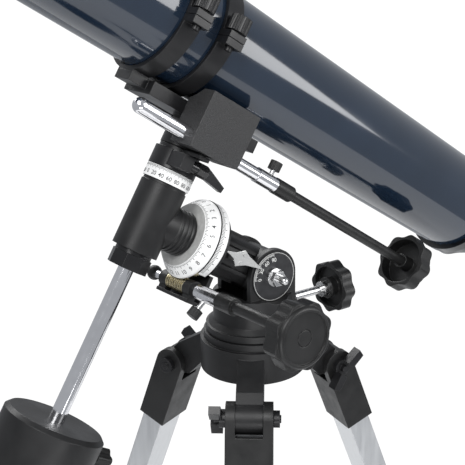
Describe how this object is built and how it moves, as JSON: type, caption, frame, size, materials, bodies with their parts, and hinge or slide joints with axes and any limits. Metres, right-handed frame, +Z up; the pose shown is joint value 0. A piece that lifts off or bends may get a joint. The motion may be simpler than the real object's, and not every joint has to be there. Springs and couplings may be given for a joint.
{
  "type": "telescope on tripod",
  "caption": "Small Newtonian reflector in tube rings on a German equatorial mount with slow-motion controls, standing on an extending aluminium tripod with a tray.",
  "frame": {"origin": "on the floor under the middle of the bounding box", "axes": "+Z up; the tube and the polar axis lie in the XZ plane with the open front towards -X and up; the slow-motion knobs are on the -Y side"},
  "size_m": [0.677, 0.5835, 1.1729],
  "materials": {
    "black_metal": "satin black paint on castings",
    "grey_wrinkle": "dark grey wrinkle paint",
    "tube_paint": "gloss dark blue paint",
    "black_plastic": "moulded, fine grain",
    "white_plastic": "white with engraved black graduations",
    "dark_scale": "dark plate with light graduations",
    "chrome": "polished plating",
    "brass": "machined",
    "leg_alloy": "satin anodised",
    "plate_alloy": "brushed",
    "steel": "bright zinc plating",
    "mirror": "aluminised glass"
  },
  "bodies": {
    "tripod": {"tripod_head": "black_metal", "leg_hinge_bolts": "black_metal", "leg_fittings": "black_plastic", "leg_uppers": "leg_alloy", "spreader": "black_plastic", "tray": "black_plastic"},
    "leg_1": {"leg_lower_1": "leg_alloy"},
    "leg_2": {"leg_lower_2": "leg_alloy"},
    "leg_3": {"leg_lower_3": "leg_alloy"},
    "leg_lock_1": {"leg_lock_1": "black_plastic"},
    "leg_lock_2": {"leg_lock_2": "black_plastic"},
    "leg_lock_3": {"leg_lock_3": "black_plastic"},
    "azimuth": {"az_base": "black_metal", "lat_scale": "dark_scale", "lat_pivot": "steel"},
    "az_lock": {"az_lock": "black_plastic"},
    "lat_adjuster": {"lat_screw": "steel", "lat_knob": "black_plastic"},
    "polar": {"ra_housing": "black_metal", "lat_pointer": "plate_alloy", "ra_index_ring": "white_plastic", "worm_frame": "black_metal"},
    "ra_lock": {"ra_lock": "black_plastic"},
    "ra_wheel": {"ra_wheel": "brass"},
    "ra_slow": {"ra_worm": "brass", "ra_worm_shaft": "chrome", "ra_cable": "black_plastic", "ra_knob": "black_plastic"},
    "ra_coupling_screw": {"ra_coupling_screw": "black_plastic"},
    "ra_axis": {"dec_housing": "black_metal", "shaft_nut": "black_metal", "cw_shaft": "chrome"},
    "ra_circle": {"ra_circle": "white_plastic"},
    "counterweight": {"counterweight": "black_metal"},
    "cw_lock": {"cw_lock": "black_plastic"},
    "cw_stop": {"cw_stop": "black_plastic"},
    "dec_axis": {"dec_clamp": "black_metal"},
    "dec_circle": {"dec_circle": "white_plastic"},
    "dec_lock": {"dec_lock": "black_plastic"},
    "saddle": {"dec_block": "grey_wrinkle", "dec_barrel": "chrome", "saddle_bar": "black_metal", "ring_lowers": "black_metal"},
    "dec_slow": {"dec_screw": "chrome", "dec_cable": "black_plastic", "dec_knob": "black_plastic"},
    "dec_coupling_screw": {"dec_coupling_screw": "black_plastic"},
    "ring_cap_front": {"ring_cap_front": "black_metal"},
    "ring_cap_rear": {"ring_cap_rear": "black_metal"},
    "optical_tube": {"tube": "tube_paint", "front_ring": "black_metal", "rear_cell": "black_metal", "mirrors": "mirror", "focuser": "black_metal", "finder": "black_plastic"},
    "drawtube": {"drawtube": "chrome"},
    "focus_knobs": {"focus_knobs": "black_plastic"},
    "eyepiece": {"eyepiece": "black_plastic"},
    "dust_cap": {"dust_cap": "black_plastic"}
  },
  "joints": [
    {"name": "leg_1_extend", "type": "slide", "parent": "tripod", "child": "leg_1", "axis": [0.3549, -0.0499, -0.9336], "range_m": [-0.13, 0.15]},
    {"name": "leg_lock_1_turn", "type": "hinge", "parent": "tripod", "child": "leg_lock_1", "pos_m": [0.25703, -0.05819, 0.19018], "axis": [0.9245, -0.1299, 0.3584], "range_deg": [0, 360]},
    {"name": "leg_2_extend", "type": "slide", "parent": "tripod", "child": "leg_2", "axis": [-0.1342, 0.3323, -0.9336], "range_m": [-0.13, 0.15]},
    {"name": "leg_lock_2_turn", "type": "hinge", "parent": "tripod", "child": "leg_lock_2", "pos_m": [-0.09196, 0.21447, 0.19018], "axis": [-0.3497, 0.8656, 0.3584], "range_deg": [0, 360]},
    {"name": "leg_3_extend", "type": "slide", "parent": "tripod", "child": "leg_3", "axis": [-0.2206, -0.2824, -0.9336], "range_m": [-0.13, 0.15]},
    {"name": "leg_lock_3_turn", "type": "hinge", "parent": "tripod", "child": "leg_lock_3", "pos_m": [-0.15359, -0.22409, 0.19018], "axis": [-0.5748, -0.7357, 0.3584], "range_deg": [0, 360]},
    {"name": "azimuth_turn", "type": "hinge", "parent": "tripod", "child": "azimuth", "pos_m": [0.00383, -0.02261, 0.69601], "axis": [0, 0, 1], "continuous": true},
    {"name": "az_lock_turn", "type": "hinge", "parent": "tripod", "child": "az_lock", "pos_m": [0.00383, -0.02261, 0.68801], "axis": [0.6157, 0.788, 0], "range_deg": [0, 360]},
    {"name": "lat_knob_turn", "type": "hinge", "parent": "azimuth", "child": "lat_adjuster", "pos_m": [0.00777, -0.02261, 0.72401], "axis": [1, 0, 0], "range_deg": [-180, 180]},
    {"name": "latitude_tilt", "type": "hinge", "parent": "azimuth", "child": "polar", "pos_m": [0.00777, -0.02261, 0.75696], "axis": [0, 1, 0], "range_deg": [0, 20]},
    {"name": "ra_lock_turn", "type": "hinge", "parent": "polar", "child": "ra_lock", "pos_m": [-0.02548, -0.02261, 0.77734], "axis": [0, 1, 0], "range_deg": [-30, 60]},
    {"name": "ra_wheel_turn", "type": "hinge", "parent": "polar", "child": "ra_wheel", "pos_m": [-0.04662, -0.02261, 0.7903], "axis": [0.8526, 0, -0.5225], "range_deg": [-90, 30]},
    {"name": "ra_knob_turn", "type": "hinge", "parent": "polar", "child": "ra_slow", "pos_m": [-0.06476, -0.02406, 0.7607], "axis": [-0.0219, 0.9991, -0.0357], "range_deg": [-6480, 2160]},
    {"name": "ra_coupling_screw_turn", "type": "hinge", "parent": "ra_slow", "child": "ra_coupling_screw", "pos_m": [-0.06393, -0.06203, 0.76205], "axis": [-0.7822, -0.0394, -0.6218], "range_deg": [0, 360]},
    {"name": "ra_axis_turn", "type": "hinge", "parent": "ra_wheel", "child": "ra_axis", "pos_m": [-0.08857, -0.02261, 0.81601], "axis": [0.8526, 0, -0.5225], "range_deg": [-90, 30]},
    {"name": "ra_circle_turn", "type": "hinge", "parent": "ra_axis", "child": "ra_circle", "pos_m": [-0.05617, -0.02261, 0.79615], "axis": [0.8526, 0, -0.5225], "continuous": true},
    {"name": "counterweight_slide", "type": "slide", "parent": "ra_axis", "child": "counterweight", "axis": [0.5225, 0, 0.8526], "range_m": [-0.044, 0.115]},
    {"name": "cw_lock_turn", "type": "hinge", "parent": "counterweight", "child": "cw_lock", "pos_m": [-0.18393, -0.02261, 0.6604], "axis": [0.8526, 0, -0.5225], "range_deg": [0, 360]},
    {"name": "cw_stop_turn", "type": "hinge", "parent": "ra_axis", "child": "cw_stop", "pos_m": [-0.22181, -0.02261, 0.59858], "axis": [0.5225, 0, 0.8526], "range_deg": [0, 360]},
    {"name": "dec_axis_turn", "type": "hinge", "parent": "ra_axis", "child": "dec_axis", "pos_m": [-0.08857, -0.02261, 0.81601], "axis": [0.5225, 0, 0.8526], "continuous": true},
    {"name": "dec_circle_turn", "type": "hinge", "parent": "ra_axis", "child": "dec_circle", "pos_m": [-0.07185, -0.02261, 0.84329], "axis": [0.5225, 0, 0.8526], "continuous": true},
    {"name": "dec_lock_turn", "type": "hinge", "parent": "dec_axis", "child": "dec_lock", "pos_m": [-0.06423, -0.04661, 0.85574], "axis": [0.8526, 0, -0.5225], "range_deg": [-180, 180]},
    {"name": "saddle_fine_turn", "type": "hinge", "parent": "dec_axis", "child": "saddle", "pos_m": [-0.05513, -0.02261, 0.87057], "axis": [0.5225, 0, 0.8526], "range_deg": [-3.5, 3.5]},
    {"name": "dec_knob_turn", "type": "hinge", "parent": "saddle", "child": "dec_slow", "pos_m": [-0.05513, -0.05461, 0.87057], "axis": [0.8387, 0, -0.5446], "range_deg": [-720, 720]},
    {"name": "dec_coupling_screw_turn", "type": "hinge", "parent": "dec_slow", "child": "dec_coupling_screw", "pos_m": [-0.00398, -0.05461, 0.83735], "axis": [0.5446, 0, 0.8387], "range_deg": [0, 360]},
    {"name": "ring_cap_front_open", "type": "hinge", "parent": "saddle", "child": "ring_cap_front", "pos_m": [-0.07247, 0.02759, 0.96095], "axis": [0.8526, 0, -0.5225], "range_deg": [-120, 0]},
    {"name": "ring_cap_rear_open", "type": "hinge", "parent": "saddle", "child": "ring_cap_rear", "pos_m": [-0.04689, 0.02759, 0.94527], "axis": [0.8526, 0, -0.5225], "range_deg": [-120, 0]},
    {"name": "tube_turn", "type": "hinge", "parent": "saddle", "child": "optical_tube", "pos_m": [-0.0196, -0.02261, 0.92856], "axis": [0.8526, 0, -0.5225], "continuous": true},
    {"name": "drawtube_slide", "type": "slide", "parent": "optical_tube", "child": "drawtube", "axis": [0.4003, -0.6428, 0.6532], "range_m": [-0.009, 0.03]},
    {"name": "focus_knob_turn", "type": "hinge", "parent": "optical_tube", "child": "focus_knobs", "pos_m": [-0.21369, -0.04552, 1.11328], "axis": [0.8526, 0, -0.5225], "range_deg": [-300, 300]},
    {"name": "eyepiece_slide", "type": "slide", "parent": "drawtube", "child": "eyepiece", "axis": [0.4003, -0.6428, 0.6532], "range_m": [0, 0.03]},
    {"name": "dust_cap_slide", "type": "slide", "parent": "optical_tube", "child": "dust_cap", "axis": [-0.8526, 0, 0.5225], "range_m": [0, 0.05]}
  ],
  "couplings": [
    {"joint": "ra_knob_turn", "follows": "ra_wheel_turn", "ratio": 72},
    {"joint": "dec_knob_turn", "follows": "saddle_fine_turn", "ratio": -201},
    {"joint": "focus_knob_turn", "follows": "drawtube_slide", "rad_per_m": -166.7}
  ]
}
